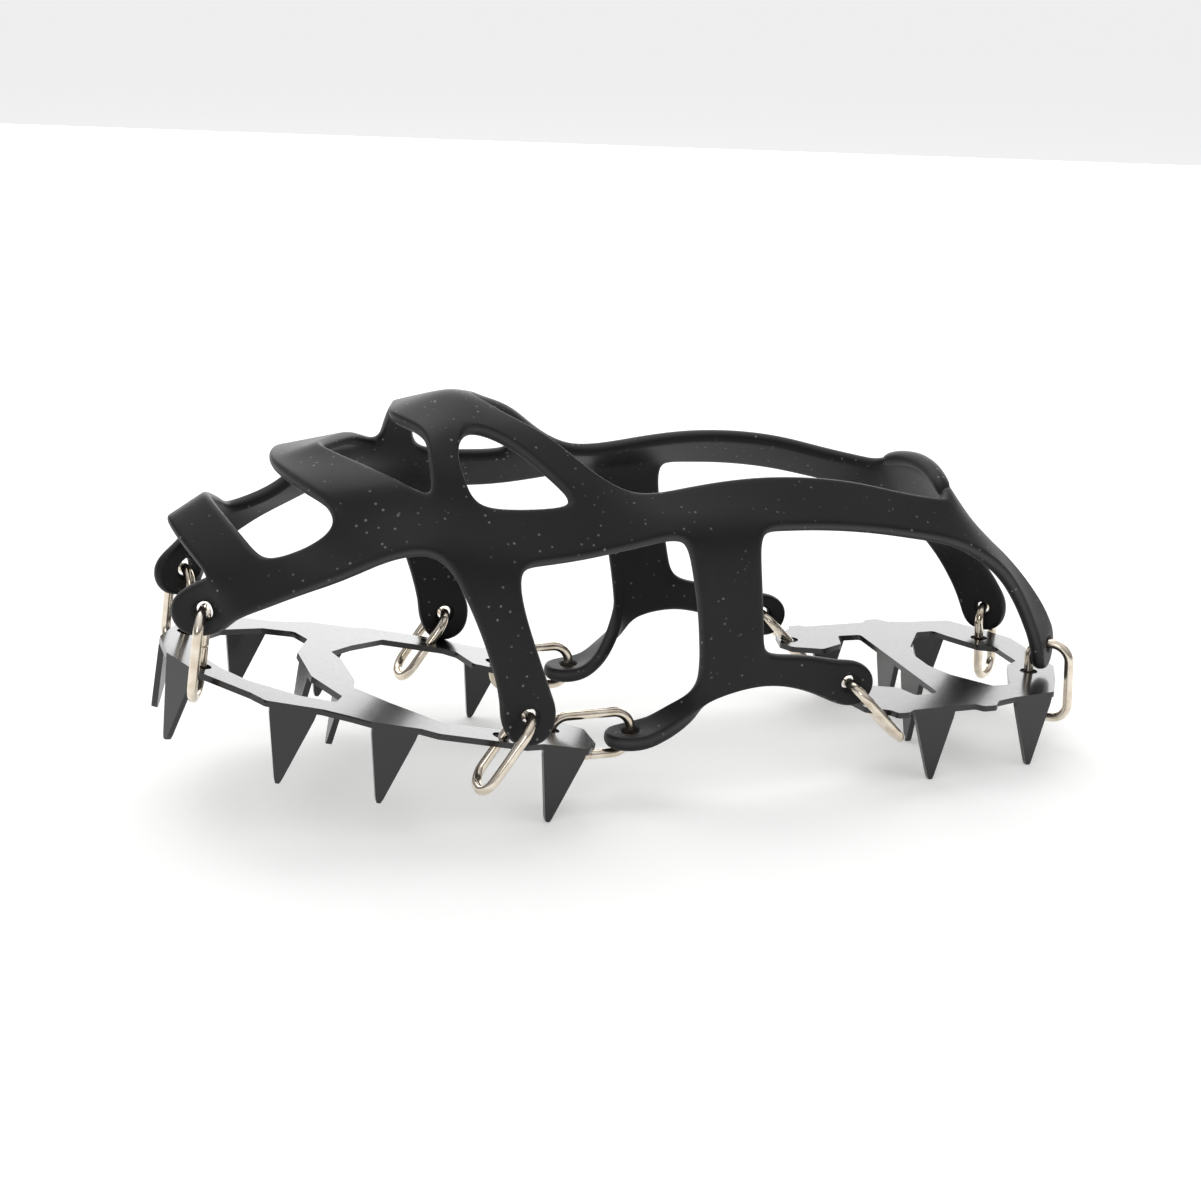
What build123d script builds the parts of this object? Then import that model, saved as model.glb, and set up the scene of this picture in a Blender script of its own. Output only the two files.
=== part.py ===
"""Microspikes: two spiked steel plates hung by wire links from a moulded elastomer harness.

Foot frame while modelling: +X from toe to heel, +Y across, +Z up. `place` moves a foot-frame point into the
part's own frame, whose origin is on the floor, midway along the overall length. The spike tips stand at z = 0.
Everything is symmetric about the XZ plane; the side with negative y is called left.
"""
import os
from math import cos, radians, sin

from build123d import *

os.makedirs("parts", exist_ok=True)

# Overall sizes, millimetres
sole_length = 220.0      # toe edge of the front plate to rear edge of the heel plate
ball_width = 80.0        # across the front plate at the ball of the foot
middle = 13.5            # foot-frame x of the middle of the overall length

# Stamped plates
plate_t = 1.5
spike_h = 17.9           # spike tip to plate underside
spike_w = 11.5           # spike width at the bend
spike_tip_w = 1.8
corner_r = 1.2           # corners of the stamped outline
toe_tilt = 12.7          # front plate, toe up, degrees
ball_line = -12.6        # foot-frame x of the line through the rearmost front spikes

# Wire links
wire_d = 2.4
link_l = 20.6            # between wire centres, along
link_w = 10.6            # between wire centres, across
plate_hole_r = 2.3
lug_hole_r = 2.4

# Moulded harness
strap_t = 3.4
arch_front = -2.0        # foot-frame x where the flexing middle of the harness starts
arch_rear = 72.0         # and where it ends

reach = sole_length / 220.0
spread = ball_width / 80.0


def place(x, y, h):
    """Foot-frame x and y, and height above the heel plate's underside, as a point in the part's frame."""
    return Vector((x - middle) * reach, y * spread, spike_h + h)


def turned(plane, x, y, z=0.0):
    """A direction given in a plane's own axes, in the part's frame."""
    return plane.from_local_coords(Vector(x, y, z)) - plane.origin


# ---------------------------------------------------------------- plates
tilt = radians(toe_tilt)
front_plane = Plane(
    origin=place(ball_line, 0, spike_h * (cos(tilt) - 1)),
    x_dir=(cos(tilt), 0, -sin(tilt)),
    z_dir=(sin(tilt), 0, cos(tilt)),
)
heel_plane = Plane(origin=place(0, 0, 0), x_dir=(1, 0, 0), z_dir=(0, 0, 1))


def flat(points):
    """Half-outline points, scaled to the overall sizes."""
    return [(x * reach, y * spread) for x, y in points]


def closed_outline(points):
    """The half-outline and its mirror image as one closed polyline."""
    half = flat(points)
    return half + [(x, -y) for x, y in reversed(half)]


def spike(plane, x, y, heading):
    """A spike bent down from the plate's edge at (x, y), facing heading (degrees from the plate's +X)."""
    a = radians(heading)
    bend = Plane(
        origin=plane.from_local_coords((x * reach, y * spread, plate_t)),
        x_dir=turned(plane, -sin(a), cos(a)),
        z_dir=turned(plane, cos(a), sin(a)),
    )
    width, tip, bottom = spike_w / 2, spike_tip_w / 2, -spike_h - plate_t
    half = [(width, 0), (width - 0.5, -3), (tip, bottom + 1), (tip / 2, bottom)]
    with BuildPart() as blade:
        with BuildSketch(bend):
            with BuildLine():
                Polyline(*half, *[(-x, z) for x, z in reversed(half)], close=True)
            make_face()
        extrude(amount=-plate_t)
    return blade.part


toe_edge, hub_front, hub_rear = -92.0, -57.5, -46.5
front_outline = [
    (toe_edge, 6.2), (-87.0, 16.9), (-75.6, 28.0), (-72.8, 32.2), (-59.5, 33.2), (-53.5, 35.4), (-49.0, 37.6),
    (-37.0, 38.0), (-33.0, 39.8), (-11.0, 39.6), (-6.5, 37.4), (5.5, 36.8), (8.6, 32.0), (8.8, 21.5), (3.0, 18.5),
    (-8.0, 21.0), (-10.5, 29.0), (-14.0, 31.0), (-30.5, 31.0), (-41.0, 21.5), (-48.0, 13.5), (hub_rear, 8.0),
]
front_opening = [
    (-83.0, 6.0), (-80.0, 12.5), (-75.0, 19.0), (-63.5, 25.5), (-55.0, 26.5), (-52.5, 21.5), (hub_front, 9.0),
]
front_spikes = [(-89.5, 11.6, 155), (-66.2, 32.7, 94.3), (-43.0, 37.8, 92), (-0.6, 37.1, 87)]

bar_front = 91.0
heel_outline = [
    (bar_front, 24.0), (84.5, 24.5), (82.5, 18.0), (76.0, 15.0), (68.5, 18.5), (66.5, 22.5), (68.0, 29.5), (73.5, 33.2),
    (74.5, 35.6), (77.5, 35.6), (79.0, 34.2), (96.5, 34.0), (98.0, 36.0), (101.5, 36.0), (103.5, 33.2),
    (109.0, 31.7), (121.0, 30.3), (126.0, 22.0), (131.0, 12.0),
]
heel_opening = [(98.0, 4.0), (100.5, 12.0), (107.5, 22.5), (112.5, 22.5), (114.5, 17.5), (119.0, 8.5), (123.0, 6.0)]
heel_spikes = [(85.4, 34.1, 89.5), (115.0, 31.0, 83.5)]
bar_spikes = (-7.5, 7.5)

# ---------------------------------------------------------------- links
class Link:
    """A wire link: it hangs from the lug hole, its long sides run `along`, and `out` is the lug's normal."""

    def __init__(self, name, lug, along, out, shift=0.0, ends_in_plate=False):
        self.name = name
        self.lug = lug
        self.along = Vector(*along).normalized()
        self.out = Vector(*out).normalized()
        centre = lug + self.along * (link_l / 2) + self.out * shift
        self.frame = Plane(origin=centre, x_dir=self.along, z_dir=self.along.cross(self.out))
        if ends_in_plate:
            self.enters = (self.frame.from_local_coords((link_l / 2, 0, 0)), self.out)
        else:
            self.enters = (self.frame.from_local_coords((0, -link_w / 2, 0)), self.along)

    def hole_in(self, plane):
        """Where the link passes the middle of the plate's thickness, in the plate's own coordinates."""
        point, heading = self.enters
        start = plane.to_local_coords(point)
        step = plane.to_local_coords(point + heading) - start
        k = (plate_t / 2 - start.Z) / step.Z
        return (start.X + step.X * k, start.Y + step.Y * k)


front_links = [
    Link("toe", place(-95.0, 18.4, 34.8), (-0.12, 0, -1), (-0.32, 0.95, 0), shift=-0.6),
    Link("ball", place(-23.4, 41.8, 11.1), (-0.58, 0, -0.81), (0, 1, 0), shift=-1.1),
    Link("arch_front", place(7.0, 25.5, -0.9), (-1, 0, 0), (0, 0, 1), ends_in_plate=True),
]
heel_links = [
    Link("arch_rear", place(63.0, 30.2, 8.4), (0.68, 0, -0.73), (0, 1, 0), shift=-0.4),
    Link("heel", place(125.6, 17.6, 10.1), (0.06, 0, -1), (0.74, 0.67, 0), shift=0.2),
]


def ring(link):
    """Rounded-rectangle wire link, bent from round wire."""
    with BuildPart() as wire:
        with BuildSketch(link.frame, mode=Mode.PRIVATE) as loop:
            RectangleRounded(link_l, link_w, link_w / 2 - 0.8)
        path = loop.sketch.face().outer_wire()
        with BuildSketch(Plane(origin=path @ 0, z_dir=path % 0)):
            Circle(wire_d / 2)
        sweep(path=path)
    return wire.part


def on_hole(edge, holes, plane):
    """Whether an upright edge is the seam of a link hole rather than a corner of the outline."""
    at = plane.to_local_coords(edge @ 0.5)
    return any(abs(abs(at.Y) - y) < 1.1 * plate_hole_r and abs(at.X - x) < 1.1 * plate_hole_r for x, y in holes)


def plate(plane, outline, openings, spikes, links):
    with BuildPart() as sheet:
        with BuildSketch(plane):
            with BuildLine():
                Polyline(*closed_outline(outline), close=True)
            make_face()
            for opening in openings:
                with BuildLine():
                    Polyline(*closed_outline(opening), close=True)
                make_face(mode=Mode.SUBTRACT)
            holes = [link.hole_in(plane) for link in links]
            with Locations(*holes, *[(x, -y) for x, y in holes]):
                Circle(plate_hole_r, mode=Mode.SUBTRACT)
        extrude(amount=plate_t)
        corners = sheet.edges().filter_by(Axis(plane.origin, plane.z_dir)).filter_by(GeomType.LINE)
        fillet([e for e in corners if e.length > 0.99 * plate_t and not on_hole(e, holes, plane)], corner_r)
        for blade in spikes:
            add(blade)
    return sheet.part


# ---------------------------------------------------------------- harness straps
# Each strap is a list of stations from one end to the other; a station is the strap's two edges, as
# (x, y, height above the deck) pairs, on the side with positive y.
band = [
    ((-101.0, 14.6, 39.5), (-101.2, 16.6, 27.0)), ((-94.5, 17.0, 41.5), (-93.6, 20.2, 28.2)),
    ((-88.0, 21.0, 45.6), (-87.0, 32.0, 34.6)), ((-80.5, 24.0, 49.1), (-80.0, 37.5, 39.6)),
    ((-68.0, 26.0, 54.1), (-68.0, 39.5, 44.6)), ((-55.0, 26.5, 59.1), (-56.0, 40.0, 48.6)),
    ((-43.0, 27.0, 62.1), (-43.0, 41.0, 49.6)), ((-24.0, 30.0, 59.6), (-25.0, 41.5, 46.1)),
    ((-9.0, 28.0, 59.1), (-10.0, 39.5, 46.1)), ((11.0, 24.0, 58.9), (11.0, 38.5, 48.6)),
    ((32.0, 24.0, 61.6), (33.0, 39.5, 50.6)), ((54.0, 25.0, 61.1), (55.0, 40.0, 50.6)),
    ((75.0, 25.0, 56.4), (73.0, 36.5, 47.1)), ((88.0, 23.5, 52.6), (84.0, 33.0, 43.6)),
    ((96.5, 20.0, 48.0), (91.5, 30.5, 40.5)), ((105.5, 17.0, 40.6), (101.0, 27.5, 36.1)),
    ((115.0, 14.0, 31.7), (109.5, 24.5, 29.6)), ((124.0, 12.6, 21.6), (116.5, 23.0, 20.1)),
    ((130.2, 13.0, 12.1), (120.8, 22.4, 10.1)), ((130.2, 13.0, 3.6), (121.0, 22.2, 3.6)),
]
toe_strap = [
    ((-101.0, 0.0, 51.9), (-91.3, 0.0, 57.9)), ((-100.3, 6.0, 51.0), (-90.3, 6.0, 57.0)),
    ((-98.0, 13.0, 47.4), (-87.6, 13.0, 53.6)), ((-95.6, 20.0, 42.6), (-84.5, 22.0, 49.3)),
    ((-93.5, 25.0, 38.8), (-82.2, 28.0, 45.0)),
]
front_strap = [
    ((-75.3, 0.0, 64.3), (-64.0, 0.0, 68.9)), ((-74.0, 6.0, 63.4), (-61.0, 6.0, 67.6)),
    ((-70.8, 12.0, 61.0), (-54.5, 12.0, 65.0)), ((-67.0, 22.0, 57.0), (-47.0, 21.5, 62.5)),
    ((-62.0, 29.0, 53.0), (-44.0, 29.0, 59.5)),
]
instep_front = [
    ((-48.5, 0.0, 76.1), (-32.0, 0.0, 80.6)), ((-46.5, 10.0, 75.6), (-32.0, 10.0, 78.0)),
    ((-43.3, 18.5, 72.4), (-34.5, 19.0, 72.6)), ((-43.0, 24.5, 65.1), (-34.0, 26.0, 64.6)),
    ((-44.0, 30.0, 59.0), (-32.0, 31.5, 58.0)),
]
instep_rear = [
    ((-27.5, 0.0, 79.4), (-46.0, 0.0, 77.0)), ((-22.0, 8.0, 77.0), (-35.0, 13.0, 76.0)),
    ((-11.0, 15.0, 71.2), (-21.0, 20.5, 70.0)), ((-1.0, 20.5, 63.4), (-11.0, 26.0, 61.0)),
    ((10.5, 25.0, 58.6), (-7.0, 30.5, 55.0)),
]
ball_leg = [
    ((-49.0, 39.0, 52.0), (-22.0, 40.0, 49.5)), ((-42.5, 42.2, 42.0), (-26.5, 42.2, 42.0)),
    ((-35.5, 43.0, 30.0), (-21.0, 43.0, 29.0)), ((-31.5, 42.2, 16.0), (-18.0, 42.2, 16.0)),
    ((-30.4, 41.8, 11.0), (-16.6, 41.8, 11.0)), ((-29.6, 41.8, 4.6), (-17.2, 41.8, 4.6)),
]
arch_leg = [
    ((12.0, 38.5, 52.0), (38.0, 39.0, 52.5)), ((18.5, 38.2, 40.0), (34.5, 38.2, 40.0)),
    ((20.5, 35.5, 27.0), (37.5, 35.5, 27.0)), ((20.0, 31.6, 14.0), (42.0, 31.6, 14.0)),
]
arch_band = [
    ((0.8, 20.2, -0.9), (0.8, 30.8, -0.9)), ((7.0, 19.5, -0.8), (7.0, 31.5, -0.8)),
    ((14.5, 21.5, 3.5), (15.0, 32.5, 0.5)), ((23.5, 26.5, 14.5), (26.0, 33.0, 4.0)),
    ((36.0, 29.7, 19.8), (38.0, 32.2, 6.8)), ((50.0, 30.2, 18.8), (50.5, 31.2, 5.8)),
    ((59.0, 30.2, 16.5), (56.5, 30.4, 3.0)), ((67.5, 30.2, 11.5), (61.5, 30.2, 1.6)),
]
heel_wrap = [
    ((93.0, 21.5, 53.5), (101.5, 19.5, 38.5)), ((97.0, 11.0, 57.0), (108.0, 11.0, 36.0)),
    ((98.5, 0.0, 58.0), (110.0, 0.0, 35.0)), ((97.0, -11.0, 57.0), (108.0, -11.0, 36.0)),
    ((93.0, -21.5, 53.5), (101.5, -19.5, 38.5)),
]


def strap(stations):
    """One flat strap, lofted through a rectangle at each station."""
    pairs = [(place(*a), place(*b)) for a, b in stations]
    mids = [(a + b) / 2 for a, b in pairs]
    with BuildPart() as body:
        for i, (a, b) in enumerate(pairs):
            ahead = mids[min(i + 1, len(mids) - 1)] - mids[max(i - 1, 0)]
            across = (b - a).normalized()
            heading = ahead - across * ahead.dot(across)
            with BuildSketch(Plane(origin=mids[i], x_dir=across, z_dir=heading)):
                Rectangle((b - a).length, strap_t)
        loft(ruled=True)
    return body.part


def lug_hole(link):
    with BuildPart() as bore:
        with BuildSketch(Plane(origin=link.lug, z_dir=link.out)):
            Circle(lug_hole_r)
        extrude(amount=3 * strap_t, both=True)
    return bore.part


def harness():
    """The whole moulding before it is parted into the lengths that move."""
    sided = [band, toe_strap, front_strap, instep_front, instep_rear, ball_leg, arch_leg, arch_band]
    with BuildPart() as moulding:
        for stations in sided:
            add(strap(stations))
        for link in front_links + heel_links:
            add(lug_hole(link), mode=Mode.SUBTRACT)
        mirror(about=Plane.XZ)
        add(strap(heel_wrap))
    return moulding.part


def length_of(moulding, start, end, side=None):
    """The stretch of the moulding between two foot-frame x positions, both sides or one."""
    low, high = place(start, 0, 0).X, place(end, 0, 0).X
    with BuildPart() as piece:
        add(moulding)
        with BuildSketch(Plane.XY.offset(-1)):
            with Locations(((low + high) / 2, 0 if side is None else side * 50 * spread)):
                Rectangle(high - low, 100 * spread * (2 if side is None else 1))
        extrude(amount=400, mode=Mode.INTERSECT)
    return piece.part


def save(part, name):
    part.label = name
    export_step(part, f"parts/{name}.step")


# ---------------------------------------------------------------- making and saving
front_blades = [
    spike(front_plane, x, side * y, side * heading) for x, y, heading in front_spikes for side in (1, -1)
]
front_blades += [spike(front_plane, hub_front, 0, 180), spike(front_plane, hub_rear, 0, 0)]
heel_blades = [
    spike(heel_plane, x, side * y, side * heading) for x, y, heading in heel_spikes for side in (1, -1)
]
heel_blades += [spike(heel_plane, bar_front, y, 180) for y in bar_spikes]

save(plate(front_plane, front_outline, [front_opening], front_blades, front_links), "front_plate")
save(plate(heel_plane, heel_outline, [heel_opening], heel_blades, heel_links), "heel_plate")

for link in front_links + heel_links:
    right = ring(link)
    save(mirror(right, about=Plane.XZ), f"{link.name}_link_left")
    save(right, f"{link.name}_link_right")

moulding = harness()
save(length_of(moulding, -200, arch_front), "harness_forefoot")
save(length_of(moulding, arch_front, arch_rear, side=-1), "harness_arch_left")
save(length_of(moulding, arch_front, arch_rear, side=1), "harness_arch_right")
save(length_of(moulding, arch_rear, 200), "harness_heel")
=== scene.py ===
# %% [markdown]
# # Microspikes
#
# A slip-on traction device for a boot: one moulded elastomer harness, two stamped and bent steel plates
# with spikes under the ball and the heel, and ten wire links that hang the plates from the harness. The CAD
# model fixes where everything is. This notebook gives each piece its finished form and surface around that
# frame.

from math import pi, radians

import bmesh
import bpy
import numpy as np
from mathutils import Matrix, Vector


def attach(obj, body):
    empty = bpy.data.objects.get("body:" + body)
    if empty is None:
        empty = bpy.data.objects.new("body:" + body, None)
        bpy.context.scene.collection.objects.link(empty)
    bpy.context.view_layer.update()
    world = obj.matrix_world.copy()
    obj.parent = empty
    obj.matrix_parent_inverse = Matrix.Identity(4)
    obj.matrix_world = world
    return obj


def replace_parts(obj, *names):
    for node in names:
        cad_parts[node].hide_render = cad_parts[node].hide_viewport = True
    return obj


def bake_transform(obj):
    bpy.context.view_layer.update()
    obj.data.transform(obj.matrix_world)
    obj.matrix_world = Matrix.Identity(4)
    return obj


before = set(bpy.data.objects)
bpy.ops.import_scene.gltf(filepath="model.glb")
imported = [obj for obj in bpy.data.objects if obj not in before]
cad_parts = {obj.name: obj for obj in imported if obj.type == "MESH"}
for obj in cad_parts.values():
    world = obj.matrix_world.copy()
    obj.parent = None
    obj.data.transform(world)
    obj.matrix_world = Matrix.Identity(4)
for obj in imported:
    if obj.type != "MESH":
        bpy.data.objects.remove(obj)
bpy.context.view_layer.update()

# %% [markdown]
# ## Foot frame
#
# Every place below is written as a bootmaker would give it: x from toe to heel, y across, and the height
# above the heel plate's underside, in millimetres. One function turns such points into the part's frame in
# metres.

# %% Foot frame to part frame
MIDDLE = 13.5  # foot-frame x of the middle of the overall length
DECK = 17.9  # height of the heel plate's underside above the spike tips


def in_part_frame(points):
    """Foot-frame millimetres to part-frame metres: x shifted to the middle, height raised by the spikes."""
    return (np.asarray(points, float) - [MIDDLE, 0, -DECK]) / 1000


# %% [markdown]
# ## Harness
#
# The real harness is injection moulded flat and springs into a shoe shape: every strap is a ribbon of one
# thickness with rounded edges, and every inner corner is filleted so that it doesn't tear. It could be
# built from separate ribbons and merged, but the fillets would have to be faked. Here the whole outer face
# is a coarse net of straps that share their corner points. Catmull-Clark subdivision turns the outline of
# such a net into smooth B-spline curves, so each shared corner becomes a fillet by itself.
#
# A strap is a row of stations. A station is the strap's two edges, and its middle is halfway.

# %% Band round the boot
BAND = [
    ((-94.3, 21.5, 43.0), (-91.0, 26.0, 34.0)), ((-89.0, 24.0, 46.0), (-84.7, 31.0, 38.2)),
    ((-83.0, 26.0, 48.6), (-77.5, 34.2, 42.2)), ((-76.8, 26.5, 50.0), (-70.5, 36.6, 45.6)),
    ((-70.5, 27.0, 52.6), (-62.0, 37.6, 49.0)), ((-65.5, 27.2, 57.0), (-57.0, 38.6, 51.0)),
    ((-55.5, 28.2, 60.5), (-51.8, 39.4, 52.6)), ((-44.2, 29.3, 61.8), (-44.5, 40.6, 52.8)),
    ((-38.5, 29.8, 60.5), (-34.5, 41.4, 49.0)), ((-34.2, 30.0, 59.6), (-26.3, 41.2, 48.2)),
    ((-24.0, 30.2, 58.6), (-19.5, 39.8, 48.0)), ((-15.5, 29.8, 58.3), (-10.0, 38.4, 48.2)),
    ((-9.3, 29.0, 58.8), (-1.0, 37.6, 49.4)), ((-1.0, 27.3, 60.0), (7.0, 37.0, 50.6)),
    ((5.5, 25.2, 59.0), (15.2, 37.4, 52.8)), ((15.0, 24.4, 59.7), (25.0, 37.8, 52.4)),
    ((25.0, 24.4, 61.2), (34.2, 37.4, 52.9)), ((36.0, 24.8, 62.1), (41.5, 37.0, 52.4)),
    ((46.0, 25.0, 61.9), (50.0, 36.8, 52.0)), ((56.0, 25.0, 60.9), (60.0, 36.3, 50.9)),
    ((66.0, 24.8, 59.0), (69.0, 35.2, 49.3)), ((76.0, 23.9, 56.0), (77.5, 33.6, 47.3)),
    ((84.5, 22.8, 54.0), (86.0, 31.8, 45.2)), ((91.0, 21.5, 52.6), (93.5, 29.8, 42.2)),
    ((98.5, 19.3, 46.5), (100.5, 28.2, 38.4)), ((106.0, 17.4, 40.0), (106.3, 26.6, 34.4)),
    ((114.5, 15.6, 32.5), (110.8, 25.4, 29.2)), ((122.5, 14.0, 24.0), (115.2, 24.0, 22.2)),
    ((128.4, 13.1, 16.0), (118.6, 23.0, 15.0)),
]


def stations(table):
    """Edge pairs to an (n, 3, 3) grid: first edge, middle, second edge. The middle is the edges' mean."""
    edges = np.array(table, float).reshape(-1, 2, 3)
    return np.stack([edges[:, 0], edges.mean(1), edges[:, 1]], 1)


band = stations(BAND)
print("band length along its middle, mm:", round(np.linalg.norm(np.diff(band[:, 1], axis=0), axis=1).sum()))

# %% [markdown]
# Straps leave the band over three of its stations. Upwards: toe strap, front strap, the two arms of the
# instep saddle, and the heel wrap. Downwards: the ball leg and the arch leg. The lower arch band runs along
# the arch leg's foot and carries a lug at each end.

# %% Straps over the boot and down to the lugs
TOE_STRAP = [((-96.5, 17.5, 46.6), (-85.6, 20.0, 52.2)), ((-99.5, 9.0, 50.0), (-89.0, 10.0, 55.9)),
             ((-101.2, 0.0, 52.6), (-91.6, 0.0, 58.9))]
FRONT_STRAP = [((-69.0, 25.0, 62.3), (-50.0, 26.0, 65.6)), ((-73.5, 16.5, 64.6), (-56.0, 15.0, 67.0)),
               ((-75.6, 6.5, 65.0), (-61.5, 6.0, 68.2)), ((-76.2, 0.0, 64.8), (-65.0, 0.0, 69.2))]
SADDLE_FRONT = [((-43.2, 27.5, 66.3), (-35.6, 27.3, 65.5)), ((-43.0, 23.0, 71.0), (-36.6, 22.0, 70.6))]
SADDLE_REAR = [((-13.0, 26.0, 63.6), (-3.5, 22.8, 64.4)), ((-19.0, 20.8, 69.3), (-10.5, 17.5, 70.8)),
               ((-25.5, 17.0, 73.6), (-16.0, 13.2, 74.0))]
SADDLE_CREST = [
    [(-42.8, 17.5, 74.6), (-38.5, 16.5, 75.6), (-32.5, 15.0, 76.0), (-27.0, 12.0, 76.4), (-21.5, 8.5, 76.4)],
    [(-45.5, 9.0, 75.2), (-41.0, 8.5, 77.0), (-35.5, 7.5, 78.6), (-30.5, 6.0, 79.4), (-25.0, 4.5, 78.4)],
    [(-48.8, 0.0, 75.2), (-43.5, 0.0, 77.4), (-38.0, 0.0, 79.4), (-33.0, 0.0, 80.8), (-27.8, 0.0, 79.4)],
]
BALL_LEG = [((-38.6, 42.6, 40.5), (-25.8, 42.4, 39.5)), ((-34.6, 43.0, 30.0), (-22.8, 43.0, 29.5)),
            ((-31.8, 42.6, 21.0), (-20.0, 42.7, 21.5)), ((-30.3, 41.9, 14.0), (-17.8, 41.9, 15.5))]
ARCH_LEG = [((16.8, 38.7, 43.5), (34.3, 38.8, 44.0)), ((19.2, 37.4, 33.5), (35.8, 37.5, 34.0)),
            ((20.8, 35.8, 23.5), (37.2, 36.0, 24.5)), ((22.0, 34.2, 12.0), (38.0, 34.6, 18.4))]
HEEL_WRAP = [((92.8, 17.6, 54.8), (107.5, 13.5, 37.0)), ((94.0, 9.0, 56.6), (109.0, 7.0, 35.4)),
             ((94.4, 0.0, 57.2), (109.6, 0.0, 34.8))]
ARCH_BAND = [((13.0, 20.6, 0.8), (12.5, 31.4, -0.2)), ((18.0, 26.5, 7.0), (19.5, 32.8, 4.8)),
             ((22.0, 34.2, 12.0), (25.5, 33.2, 8.0)), ((30.0, 34.4, 15.2), (32.5, 33.2, 9.8)),
             ((38.0, 34.6, 18.4), (39.5, 32.8, 10.3)), ((46.0, 32.4, 17.6), (46.5, 31.8, 9.0)),
             ((53.5, 31.0, 16.2), (52.5, 31.0, 6.8)), ((60.0, 30.4, 14.2), (56.5, 30.4, 4.6))]
UPPER, LOWER = 0, 2  # which edge of the band a strap leaves from


def from_band(edge, first, table):
    """A strap grid whose first row is three points of the band's edge, so the two grids share them."""
    return np.concatenate([band[first:first + 3, edge][None], stations(table)])


crest = np.array(SADDLE_CREST, float)
arch_band = stations(ARCH_BAND)
arch_leg = from_band(LOWER, 14, ARCH_LEG)
arch_leg[-1] = arch_band[2:5, 0]
ball_leg = from_band(LOWER, 7, BALL_LEG)
grids = [
    band, from_band(UPPER, 0, TOE_STRAP), from_band(UPPER, 5, FRONT_STRAP), from_band(UPPER, 23, HEEL_WRAP),
    np.concatenate([from_band(UPPER, 7, SADDLE_FRONT), crest[:1, :3]]),
    np.concatenate([from_band(UPPER, 12, SADDLE_REAR), crest[:1, 2:]]),
    crest, ball_leg, arch_leg, arch_band,
]
print("strap grids:", len(grids))

# %% [markdown]
# A lug is the rounded end of a strap round a link hole. It is a ring of quads between two eight-sided
# loops: the inner one becomes the round hole, and the outer one starts with the strap's last station.

# %% Lugs
HOLE_LOOP = 1.95  # eight points this far out are smoothed to a hole of 1.75 mm radius, snug on the wire
CORNER = 0.76  # how far into the corners of the lug's box its rounded end reaches
#        hole centre, direction of the end, direction of the strap's first edge, half width, reach
LUGS = [
    ((-95.0, 18.4, 34.8), (-0.90, -0.30, -0.30), (-0.285, -0.096, 0.951), 6.7, 8.6, band[0]),
    ((-23.4, 41.8, 11.1), (0.12, 0, -1), (-1, 0, -0.12), 7.0, 8.4, ball_leg[-1]),
    ((7.0, 25.5, -0.9), (-1, 0, 0), (0, -1, 0), 6.4, 7.0, arch_band[0]),
    ((63.0, 30.2, 8.4), (0.85, 0, -0.5), (0.5, 0, 0.85), 6.4, 7.6, arch_band[-1]),
    ((125.6, 17.6, 10.1), (0.06, 0, -1), (0.67, -0.74, 0.04), 6.9, 7.6, band[-1]),
]


def lug(centre, end, first_edge, half_width, reach, last_station):
    """Ring grid (2, 9, 3). Inner loop: centre + r (cos a · end + sin a · side) at eight angles a. Outer loop:
    the strap's last station, then five points round the end, at half_width to the sides and reach ahead."""
    centre, end, side = (np.array(v, float) for v in (centre, end, first_edge))
    end /= np.linalg.norm(end)
    side -= end * (side @ end)
    side /= np.linalg.norm(side)
    angle = np.radians([135, 180, 225, 270, 315, 0, 45, 90])
    around = np.cos(angle)[:, None] * end + np.sin(angle)[:, None] * side
    inner = centre + HOLE_LOOP * around
    free = np.array([(0, -1), (CORNER, -CORNER), (1, 0), (CORNER, CORNER), (0, 1)])
    outer = centre + free[:, :1] * reach * end + free[:, 1:] * half_width * side
    ring = np.stack([inner, np.concatenate([last_station, outer])])
    return np.concatenate([ring, ring[:, :1]], 1)


grids += [lug(*spec) for spec in LUGS]


# %% Net of the whole outer face
def grid_quads(rows, columns, start):
    """Quads of a rows × columns grid of points numbered from start."""
    i = np.arange(rows * columns).reshape(rows, columns) + start
    return np.stack([i[:-1, :-1], i[1:, :-1], i[1:, 1:], i[:-1, 1:]], -1).reshape(-1, 4)


def weld(points, quads, digits=3):
    """Points that agree to so many decimals become one point."""
    kept, number = np.unique(np.round(points, digits) + 0.0, axis=0, return_inverse=True)
    return kept, number.reshape(-1)[quads]


starts = np.cumsum([0] + [g.shape[0] * g.shape[1] for g in grids])
net = np.concatenate([g.reshape(-1, 3) for g in grids])
quads = np.concatenate([grid_quads(*g.shape[:2], s) for g, s in zip(grids, starts)])
net, quads = weld(np.concatenate([net, net * [1, -1, 1]]), np.concatenate([quads, quads[:, ::-1] + len(net)]))
print("harness net:", len(net), "points,", len(quads), "quads")

# %% [markdown]
# The net is subdivided twice, then given its thickness. The inner face lies one strap thickness below the
# outer one. Along every edge the two faces stop a little short, and a rim of three strips closes the wall.
# One more subdivision rounds that rim, as the mould does.


# %% Mesh helpers
def new_mesh(name, points, faces):
    """A mesh object from arrays of points (metres) and faces, all smooth shaded."""
    mesh = bpy.data.meshes.new(name)
    mesh.from_pydata(np.asarray(points).tolist(), [], np.asarray(faces).tolist())
    mesh.polygons.foreach_set("use_smooth", np.ones(len(mesh.polygons), bool))
    obj = bpy.data.objects.new(name, mesh)
    bpy.context.scene.collection.objects.link(obj)
    return obj


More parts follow.
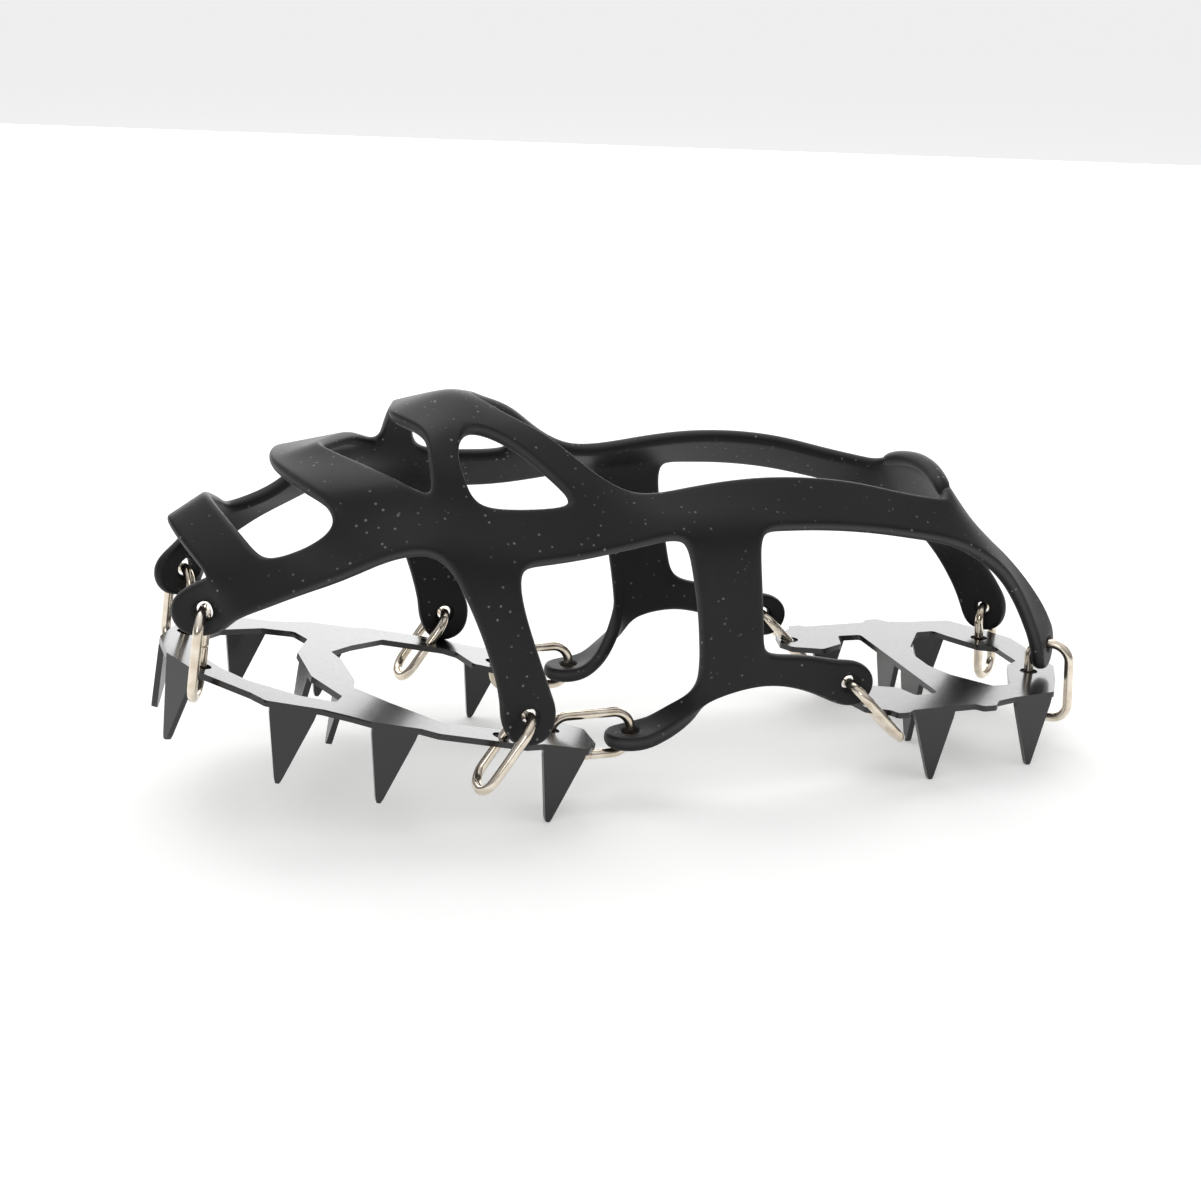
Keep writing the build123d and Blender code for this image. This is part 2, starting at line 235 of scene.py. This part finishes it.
def face_outwards(obj, fill_ends=False):
    """Makes neighbouring faces agree on which side is out, after closing the open ends of a tube if asked."""
    work = bmesh.new()
    work.from_mesh(obj.data)
    if fill_ends:
        bmesh.ops.holes_fill(work, edges=[e for e in work.edges if e.is_boundary])
    bmesh.ops.recalc_face_normals(work, faces=work.faces)
    work.to_mesh(obj.data)
    work.free()


def finished(obj):
    """Points, normals and quads of the mesh with its modifiers applied, which then replaces the old mesh."""
    bpy.context.view_layer.update()
    mesh = bpy.data.meshes.new_from_object(obj.evaluated_get(bpy.context.evaluated_depsgraph_get()))
    obj.modifiers.clear()
    obj.data = mesh
    points, normals = np.empty(len(mesh.vertices) * 3), np.empty(len(mesh.vertices) * 3)
    mesh.vertices.foreach_get("co", points)
    mesh.vertex_normals.foreach_get("vector", normals)
    faces = np.empty(len(mesh.loops), int)
    mesh.loops.foreach_get("vertex_index", faces)
    return points.reshape(-1, 3), normals.reshape(-1, 3), faces.reshape(-1, 4)


def subdivide(obj, levels):
    smooth = obj.modifiers.new("subdivision", "SUBSURF")
    smooth.levels = smooth.render_levels = levels


# %% Outer face
outer = new_mesh("harness", in_part_frame(net), quads)
face_outwards(outer)
subdivide(outer, 2)
face, normal, face_quads = finished(outer)
INSIDE = (0.02, 0, 0.045)  # a point that the harness surrounds
if (normal * (face - INSIDE)).sum() < 0:
    normal, face_quads = -normal, face_quads[:, ::-1]
print("outer face:", len(face), "points")

# %% Thickness and rounded rim
STRAP_T, EDGE_R = 0.0034, 0.0010


def with_thickness(face, normal, quads, thickness, radius):
    """A closed wall from its outer face. Inner face: face - thickness · normal. At a boundary point, the outer
    face is drawn in by an inset, and the rim passes through the point itself at depths radius and
    thickness - radius. The inset is the radius, or half the way to the nearest inner point if that is less."""
    edges = np.concatenate([quads[:, [k, (k + 1) % 4]] for k in range(4)])
    key = np.sort(edges, 1) @ [1, len(face)]
    _, place, count = np.unique(key, return_inverse=True, return_counts=True)
    rim = edges[count[place.reshape(-1)] == 1]
    ahead, behind = np.empty(len(face), int), np.empty(len(face), int)
    ahead[rim[:, 0]], behind[rim[:, 1]] = rim[:, 1], rim[:, 0]
    points = rim[:, 0]
    along = face[ahead[points]] - face[behind[points]]
    out = np.cross(along, normal[points])
    out /= np.linalg.norm(out, axis=1)[:, None]
    on_rim = np.zeros(len(face), bool)
    on_rim[points] = True
    room = np.full(len(face), 1.0)
    inner_edges = edges[on_rim[edges[:, 0]] & ~on_rim[edges[:, 1]]]
    lengths = np.linalg.norm(face[inner_edges[:, 0]] - face[inner_edges[:, 1]], axis=1)
    np.minimum.at(room, inner_edges[:, 0], lengths)
    inset = np.minimum(radius, 0.5 * room[points])[:, None]
    skin = face.copy()
    skin[points] -= inset * out
    n, m = len(face), len(points)
    number = np.empty(n, int)
    number[points] = np.arange(m)
    a, b = rim[:, 0], rim[:, 1]
    rows = [(a, b), (2 * n + number[a], 2 * n + number[b]), (2 * n + m + number[a], 2 * n + m + number[b]),
            (n + a, n + b)]
    strips = [np.stack([p[1], p[0], q[0], q[1]], 1) for p, q in zip(rows[:-1], rows[1:])]
    solid = np.concatenate([
        skin, skin - thickness * normal,
        face[points] - radius * normal[points], face[points] - (thickness - radius) * normal[points],
    ])
    return solid, np.concatenate([quads, quads[:, ::-1] + n, *strips]), n, m


solid, solid_quads, n_face, n_rim = with_thickness(face, normal, face_quads, STRAP_T, EDGE_R)
bpy.data.objects.remove(outer)
harness = new_mesh("harness", solid, solid_quads)
# The rim strips are marked 1 here, and the rubber material paints them paler as a painted highlight of the
# light line the edges catch.
painted_edge_highlight = np.zeros(len(solid), np.float32)
painted_edge_highlight[2 * n_face:2 * n_face + n_rim] = 1
harness.data.attributes.new("painted_edge_highlight", "FLOAT", "POINT").data.foreach_set("value", painted_edge_highlight)
subdivide(harness, 1)
finished(harness)
harness.data.polygons.foreach_set("use_smooth", np.ones(len(harness.data.polygons), bool))
print("harness:", 2 * len(harness.data.polygons), "triangles")

# %% [markdown]
# The rim of the heel wrap is what the wearer pulls on, so it's moulded as a thick lip.

# %% Heel lip
LIP_HALF_LENGTH, LIP_R_OUT, LIP_R_HIGH = 17.5, 2.3, 2.1
LIP_TOP = (93.6, 56.0)  # foot-frame x and height of its middle
LIP_SAG, LIP_BOW = 3.4, 2.0  # how much lower and further forward its ends are


def lip_bead(steps=40, around=16):
    """An ellipse carried along y in [-half, half], with t = y / half. Centre line: x = x0 - bow · t²,
    height = h0 - sag · t². The ellipse shrinks to almost nothing at both ends, by sqrt(1 - t¹²)."""
    nearly_one = 0.9999
    t = np.sin(np.linspace(-pi / 2, pi / 2, steps + 1)) * nearly_one
    centre = np.stack([LIP_TOP[0] - LIP_BOW * t**2, LIP_HALF_LENGTH * t, LIP_TOP[1] - LIP_SAG * t**2], 1)
    size = np.sqrt(1 - t**12)[:, None]
    angle = np.linspace(0, 2 * pi, around, endpoint=False)
    offset = np.stack([LIP_R_OUT * np.cos(angle), 0 * angle, LIP_R_HIGH * np.sin(angle)], 1)
    points = centre[:, None] + size[..., None] * offset
    i = np.arange((steps + 1) * around).reshape(-1, around)
    k = np.roll(i, -1, 1)
    return points.reshape(-1, 3), np.stack([i[:-1], k[:-1], k[1:], i[1:]], -1).reshape(-1, 4)


points, faces = lip_bead()
lip = new_mesh("harness_heel_lip", in_part_frame(points), faces)
face_outwards(lip, fill_ends=True)
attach(lip, "heel")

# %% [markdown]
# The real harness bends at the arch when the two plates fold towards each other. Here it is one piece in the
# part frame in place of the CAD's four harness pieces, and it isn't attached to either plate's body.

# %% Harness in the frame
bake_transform(harness)
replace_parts(harness, "harness_forefoot", "harness_arch_left", "harness_arch_right", "harness_heel")

# %% [markdown]
# ## Plates
#
# Each plate is stamped from 1.5 mm sheet and its spikes are bent down. The CAD has the stamped form
# exactly, so the visible plate is that form with its points merged and its edges broken by a small bevel,
# as tumbling leaves them.

# %% Plates with broken edges
BROKEN_EDGE = 0.00028


def tumbled(node, name):
    """The CAD node's form as a new piece: points merged, flat faces joined, edges over 35 degrees bevelled."""
    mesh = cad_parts[node].data.copy()
    work = bmesh.new()
    work.from_mesh(mesh)
    bmesh.ops.remove_doubles(work, verts=work.verts, dist=1e-6)
    bmesh.ops.dissolve_limit(work, angle_limit=radians(1), verts=work.verts, edges=work.edges)
    work.to_mesh(mesh)
    work.free()
    mesh.name = name
    obj = bpy.data.objects.new(name, mesh)
    bpy.context.scene.collection.objects.link(obj)
    bevel = obj.modifiers.new("broken edge", "BEVEL")
    bevel.width, bevel.segments, bevel.limit_method, bevel.angle_limit = BROKEN_EDGE, 2, "ANGLE", radians(35)
    bevel.harden_normals = False
    bpy.context.view_layer.update()
    obj.data = bpy.data.meshes.new_from_object(obj.evaluated_get(bpy.context.evaluated_depsgraph_get()))
    obj.modifiers.clear()
    return obj


plates = {}
for node, body in (("front_plate", "forefoot"), ("heel_plate", "heel")):
    plates[node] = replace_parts(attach(tumbled(node, node + "_tumbled"), body), node)
    print(node, len(plates[node].data.polygons), "faces")

# %% [markdown]
# ## Links
#
# A link is cut from round wire and bent into a long ring. Its two ends only butt together, and the seam
# shows as a fine dark line halfway along one long side. A swept circle gives the ring, and the seam is a
# narrow neck in it.

# %% Wire links
WIRE_R, LINK_L, LINK_W, LINK_CORNER = 1.2, 20.6, 10.6, 4.5
#         hole in the lug, direction of the long sides, lug's normal, shift along it
LINKS = {
    "toe": ((-95.0, 18.4, 34.8), (-0.12, 0, -1), (-0.32, 0.95, 0), -0.6),
    "ball": ((-23.4, 41.8, 11.1), (-0.58, 0, -0.81), (0, 1, 0), -1.1),
    "arch_front": ((7.0, 25.5, -0.9), (-1, 0, 0), (0, 0, 1), 0.0),
    "arch_rear": ((63.0, 30.2, 8.4), (0.68, 0, -0.73), (0, 1, 0), -0.4),
    "heel": ((125.6, 17.6, 10.1), (0.06, 0, -1), (0.74, 0.67, 0), 0.2),
}
AROUND, CORNER_STEPS = 20, 10
SEAM_DEPTH, SEAM_HALF = 0.28, 0.12  # the neck where the wire's ends butt together


def ring_path():
    """Centre line of the wire in its own plane: four quarter circles of radius LINK_CORNER joined by straight
    sides, starting and ending at the seam in the middle of one long side."""
    quarter = np.linspace(0, pi / 2, CORNER_STEPS + 1)
    arc = LINK_CORNER * np.stack([np.sin(quarter), 1 - np.cos(quarter)], 1)
    half = np.array([LINK_L / 2 - LINK_CORNER, LINK_W / 2 - LINK_CORNER])
    seam = np.array([0, 0.05, 0.09, 0.13, 0.35, 1.2])
    first = np.stack([seam, np.full(len(seam), -LINK_W / 2)], 1)
    right = np.concatenate([[half[0], -LINK_W / 2] + arc, [[LINK_L / 2, 0]]])
    lower = np.concatenate([first, right])
    upper = lower[::-1] * [1, -1]
    loop = np.concatenate([lower, upper[1:]])
    return np.concatenate([loop, loop[::-1][1:] * [-1, 1]])[:-1]


def link_ring(hole, along, out, shift, side):
    """Circle of radius WIRE_R carried along the ring path. At the seam the radius drops to leave a groove."""
    hole, along, out = (np.array(v, float) * [1, side, 1] for v in (hole, along, out))
    along, out = along / np.linalg.norm(along), out / np.linalg.norm(out)
    centre = hole + along * LINK_L / 2 + out * shift
    path = ring_path()
    ahead = np.roll(path, -1, 0) - np.roll(path, 1, 0)
    ahead /= np.linalg.norm(ahead, axis=1)[:, None]
    across = np.stack([ahead[:, 1], -ahead[:, 0]], 1)
    to_seam = np.hypot(path[:, 0], path[:, 1] + LINK_W / 2)
    radius = WIRE_R - SEAM_DEPTH * np.clip(1 - to_seam / SEAM_HALF, 0, 1)
    angle = np.linspace(0, 2 * pi, AROUND, endpoint=False)
    flat = path[:, None] + across[:, None] * (radius[:, None] * np.cos(angle))[..., None]
    lift = radius[:, None] * np.sin(angle)
    depth = np.cross(along, out)
    points = centre + flat[..., :1] * along + flat[..., 1:] * out + lift[..., None] * depth
    i = np.arange(len(path) * AROUND).reshape(len(path), AROUND)
    j, k = np.roll(i, -1, 0), np.roll(i, -1, 1)
    faces = np.stack([i, k, np.roll(k, -1, 0), j], -1).reshape(-1, 4)
    return points.reshape(-1, 3), faces


links = []
for name, (hole, along, out, shift) in LINKS.items():
    for side, hand in ((-1, "left"), (1, "right")):
        points, faces = link_ring(hole, along, out, shift, side)
        node = f"{name}_link_{hand}"
        ring = new_mesh(f"{node}_wire", in_part_frame(points), faces)
        face_outwards(ring)
        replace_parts(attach(ring, node), node)
        links.append(ring)
print("links:", len(links), "of", len(links[0].data.polygons), "faces")

# %% [markdown]
# ## Finishes

# %% Colour and node helpers
def colour(hex_code):
    """An sRGB hex colour as linear light, with full alpha. Each channel c: ((c + 0.055) / 1.055) ^ 2.4."""
    c = np.array([int(hex_code[k:k + 2], 16) for k in (1, 3, 5)]) / 255
    return (*np.where(c <= 0.04045, c / 12.92, ((c + 0.055) / 1.055) ** 2.4), 1.0)


def add(material, kind, settings=None, **inputs):
    """Adds a node. settings are its properties; inputs are values, or other nodes' outputs to link."""
    node = material.node_tree.nodes.new(kind)
    for key, value in (settings or {}).items():
        setattr(node, key, value)
    for key, value in inputs.items():
        numbered = key[0] == "i" and key[1:].isdigit()
        socket = node.inputs[int(key[1:]) if numbered else key.replace("_", " ")]
        if isinstance(value, bpy.types.NodeSocket):
            material.node_tree.links.new(value, socket)
        else:
            socket.default_value = value
    return node


def new_material(name):
    """An empty node material and its output node."""
    material = bpy.data.materials.new(name)
    material.use_nodes = True
    material.node_tree.nodes.clear()
    return material, add(material, "ShaderNodeOutputMaterial")


def finish_with(material, output, shader):
    material.node_tree.links.new(shader.outputs[0], output.inputs["Surface"])


def ramp(material, factor, *stops):
    """A colour ramp whose stops are (position, colour)."""
    node = add(material, "ShaderNodeValToRGB", Fac=factor)
    elements = node.color_ramp.elements
    while len(elements) < len(stops):
        elements.new(0.5)
    for element, (position, value) in zip(elements, stops):
        element.position, element.color = position, value
    return node.outputs["Color"]


# %% [markdown]
# ### Moulded elastomer
# The harness is thermoplastic elastomer, filled with carbon black and injection moulded. The mould is
# lightly textured, so the surface is matt, nearly black and a little cool in tone, with grain of a few
# tenths of a millimetre. It is slightly tacky, so it keeps specks of dust. Its moulded edges are painted
# paler, a painted highlight for the thin light line that the rounded edges catch. An image of a real
# surface would fix the pattern to one view, so noise in the piece's own coordinates is used.


# %% Elastomer material
def per_mm(size):
    """Scale, in Object coordinates (metres), of a pattern whose features are size millimetres across."""
    return 1000 / size


CLOUD_MM, GRAIN_MM, SPECK_SPACING_MM, SPECK_PATCH_MM = 26.0, 0.7, 2.4, 9.0
DUST, EDGE_HIGHLIGHT_PAINT, MOTTLE = 0.34, 0.16, 0.35  # how far dust, the painted edge highlight and grain change the rubber's colour


def elastomer():
    m, output = new_material("moulded_elastomer")
    place = add(m, "ShaderNodeTexCoord").outputs["Object"]
    cloud = add(m, "ShaderNodeTexNoise", Vector=place, Scale=per_mm(CLOUD_MM), Detail=4.0, Roughness=0.6)
    base = ramp(m, cloud.outputs["Fac"], (0.25, colour("#151516")), (0.75, colour("#1f1f21")))
    grain = add(m, "ShaderNodeTexNoise", Vector=place, Scale=per_mm(GRAIN_MM), Detail=3.0, Roughness=0.7)
    grain = grain.outputs["Fac"]
    grey = ramp(m, grain, (0.3, colour("#5a5a5a")), (0.72, colour("#9a9a9a")))
    mottled = add(m, "ShaderNodeMix", {"data_type": "RGBA", "blend_type": "OVERLAY"}, i0=MOTTLE, i6=base,
                  i7=grey)
    cells = add(m, "ShaderNodeTexVoronoi", Vector=place, Scale=per_mm(SPECK_SPACING_MM), Randomness=1.0)
    specks = ramp(m, cells.outputs["Distance"], (0.08, (1, 1, 1, 1)), (0.17, (0, 0, 0, 1)))
    patches = add(m, "ShaderNodeTexNoise", Vector=place, Scale=per_mm(SPECK_PATCH_MM), Detail=2.0)
    patches = ramp(m, patches.outputs["Fac"], (0.42, (0, 0, 0, 1)), (0.62, (1, 1, 1, 1)))
    dust = add(m, "ShaderNodeMath", {"operation": "MULTIPLY"}, i0=specks, i1=patches).outputs[0]
    dust = add(m, "ShaderNodeMath", {"operation": "MULTIPLY"}, i0=dust, i1=DUST).outputs[0]
    dusted = add(m, "ShaderNodeMix", {"data_type": "RGBA"}, i0=dust, i6=mottled.outputs[2],
                 i7=colour("#b9b6b0"))
    # Painted highlight: the rim strips are mixed towards pale grey #8c8a88, standing in for the light line
    # that the rounded edges catch.
    edge_highlight_mask = add(m, "ShaderNodeAttribute", {"attribute_name": "painted_edge_highlight"}).outputs["Fac"]
    edge_highlight_weight = add(m, "ShaderNodeMath", {"operation": "MULTIPLY"}, i0=edge_highlight_mask, i1=EDGE_HIGHLIGHT_PAINT).outputs[0]
    shown = add(m, "ShaderNodeMix", {"data_type": "RGBA"}, i0=edge_highlight_weight, i6=dusted.outputs[2],
                i7=colour("#8c8a88"))
    bump = add(m, "ShaderNodeBump", Height=grain, Strength=0.25, Distance=0.0001)
    shader = add(m, "ShaderNodeBsdfPrincipled", Base_Color=shown.outputs[2], Roughness=0.5, IOR=1.5,
                 Specular_IOR_Level=0.25, Normal=bump.outputs["Normal"])
    finish_with(m, output, shader)
    return m


rubber = elastomer()
for moulding in (harness, lip):
    moulding.data.materials.clear()
    moulding.data.materials.append(rubber)
print("materials:", rubber.name)

# %% [markdown]
# ### Gloss-coated steel
#
# The plates are stamped carbon steel, tumbled, then dipped in a black gloss coat. The coat is a hard
# lacquer: it looks black from above and mirrors the surroundings at a low angle. It levels over the sheet's
# rolling marks, so the base is a little uneven and the clear top is smooth. Grit of the walked-on ground
# leaves fine dull flecks.


# %% Coated steel material
ROLL_MM, FLECK_MM = 14.0, 1.1


def coated_steel():
    m, output = new_material("gloss_coated_steel")
    place = add(m, "ShaderNodeTexCoord").outputs["Object"]
    rolling = add(m, "ShaderNodeTexNoise", Vector=place, Scale=per_mm(ROLL_MM), Detail=3.0).outputs["Fac"]
    base = ramp(m, rolling, (0.3, colour("#09090a")), (0.7, colour("#101012")))
    fleck = add(m, "ShaderNodeTexNoise", Vector=place, Scale=per_mm(FLECK_MM), Detail=2.0).outputs["Fac"]
    dull = ramp(m, fleck, (0.40, (0.22, 0.22, 0.22, 1)), (0.80, (0.27, 0.27, 0.27, 1)))
    bump = add(m, "ShaderNodeBump", Height=rolling, Strength=0.05, Distance=0.0004)
    shader = add(m, "ShaderNodeBsdfPrincipled", Base_Color=base, Roughness=dull, IOR=1.5, Coat_Weight=0.3,
                 Coat_Roughness=0.12, Coat_IOR=1.5, Normal=bump.outputs["Normal"])
    finish_with(m, output, shader)
    return m


steel = coated_steel()
for plate in plates.values():
    plate.data.materials.clear()
    plate.data.materials.append(steel)
print("materials:", steel.name)

# %% [markdown]
# ### Nickel-plated wire
#
# The links are drawn steel wire, barrel plated with nickel. Nickel is a warm, bright metal. Drawing leaves
# it smooth, and rubbing against lugs and plates leaves small dull patches.


# %% Wire material
RUB_MM = 4.0


def nickel_wire():
    m, output = new_material("nickel_plated_wire")
    place = add(m, "ShaderNodeTexCoord").outputs["Object"]
    rub = add(m, "ShaderNodeTexNoise", Vector=place, Scale=per_mm(RUB_MM), Detail=3.0).outputs["Fac"]
    shown = ramp(m, rub, (0.3, colour("#cdbfa9")), (0.7, colour("#f1e8da")))
    dull = ramp(m, rub, (0.35, (0.14, 0.14, 0.14, 1)), (0.8, (0.30, 0.30, 0.30, 1)))
    shader = add(m, "ShaderNodeBsdfPrincipled", Base_Color=shown, Metallic=1.0, Roughness=dull)
    finish_with(m, output, shader)
    return m


wire = nickel_wire()
for ring in links:
    ring.data.materials.clear()
    ring.data.materials.append(wire)
print("materials:", wire.name)

# %% [markdown]
# ## Stage
#
# A wide pale floor, with a little glow of its own so that it stays near white, a sky that is brighter
# overhead, and three soft boxes. The one behind the piece is what the plates' gloss coat mirrors.

# %% Floor and light
FLOOR = 40.0
floor = new_mesh("floor", FLOOR * np.array([(-1, -1, 0), (1, -1, 0), (1, 1, 0), (-1, 1, 0)]), [(0, 1, 2, 3)])
paper, output = new_material("pale_paper")
lit = add(paper, "ShaderNodeBsdfDiffuse", Color=colour("#f4f4f2"))
glow = add(paper, "ShaderNodeEmission", Color=colour("#fdfdfb"), Strength=0.25)
finish_with(paper, output, add(paper, "ShaderNodeAddShader", i0=lit.outputs[0], i1=glow.outputs[0]))
floor.data.materials.append(paper)

world = bpy.data.worlds.new("studio")
bpy.context.scene.world = world
world.use_nodes = True
world.node_tree.nodes.clear()
ray = add(world, "ShaderNodeLightPath").outputs["Is Camera Ray"]
direction = add(world, "ShaderNodeTexCoord").outputs["Generated"]
height = add(world, "ShaderNodeSeparateXYZ", Vector=direction).outputs["Z"]
sky = ramp(world, height, (0.0, (0.16, 0.16, 0.17, 1)), (0.25, (0.30, 0.30, 0.31, 1)),
           (0.9, (0.9, 0.9, 0.92, 1)))
seen = add(world, "ShaderNodeMix", {"data_type": "RGBA"}, i0=ray, i6=sky, i7=(1.0, 1.0, 0.99, 1))
backdrop = add(world, "ShaderNodeBackground", Color=seen.outputs[2])
finish_with(world, add(world, "ShaderNodeOutputWorld"), backdrop)


def softbox(name, place, target, width, height, power):
    """A rectangular area light at place that faces target. It lights and reflects, but isn't seen itself."""
    data = bpy.data.lights.new(name, "AREA")
    data.shape, data.size, data.size_y, data.energy = "RECTANGLE", width, height, power
    lamp = bpy.data.objects.new(name, data)
    aim = np.array(target, float) - place
    lamp.rotation_euler = Vector(aim).to_track_quat("-Z", "Y").to_euler()
    lamp.location = place
    lamp.visible_camera = False
    bpy.context.scene.collection.objects.link(lamp)


softbox("overhead", (-0.1, 0.55, 1.0), (0, 0, 0.04), 0.9, 0.9, 3.5)
softbox("behind", (0.50, 1.35, 0.36), (0, 0, 0.04), 1.9, 0.8, 13)
softbox("front", (-0.7, -1.0, 0.5), (0, 0, 0.04), 0.4, 0.4, 1.8)

# %% Camera
LENS_MM, SENSOR_MM = 65.95, 36.0
CAMERA_PLACE = (-162.0, -500.0, 209.0 - DECK)
RIGHT = (0.9503764, -0.30959329, 0.03060556)
UP = (0.06596251, 0.29667019, 0.95269919)
LOOK = (0.30402904, 0.903404, -0.30236989)
camera = bpy.data.objects.new("camera", bpy.data.cameras.new("camera"))
camera.data.lens, camera.data.sensor_width = LENS_MM, SENSOR_MM
camera.data.shift_x, camera.data.shift_y = 0.0021, 0.0029
camera.data.clip_start, camera.data.clip_end = 0.01, 20
axes = Matrix((RIGHT, UP, [-c for c in LOOK])).transposed()
camera.matrix_world = Matrix.Translation(in_part_frame(CAMERA_PLACE)) @ axes.to_4x4()
bpy.context.scene.collection.objects.link(camera)
bpy.context.scene.camera = camera
bpy.context.scene.view_settings.view_transform = "Standard"
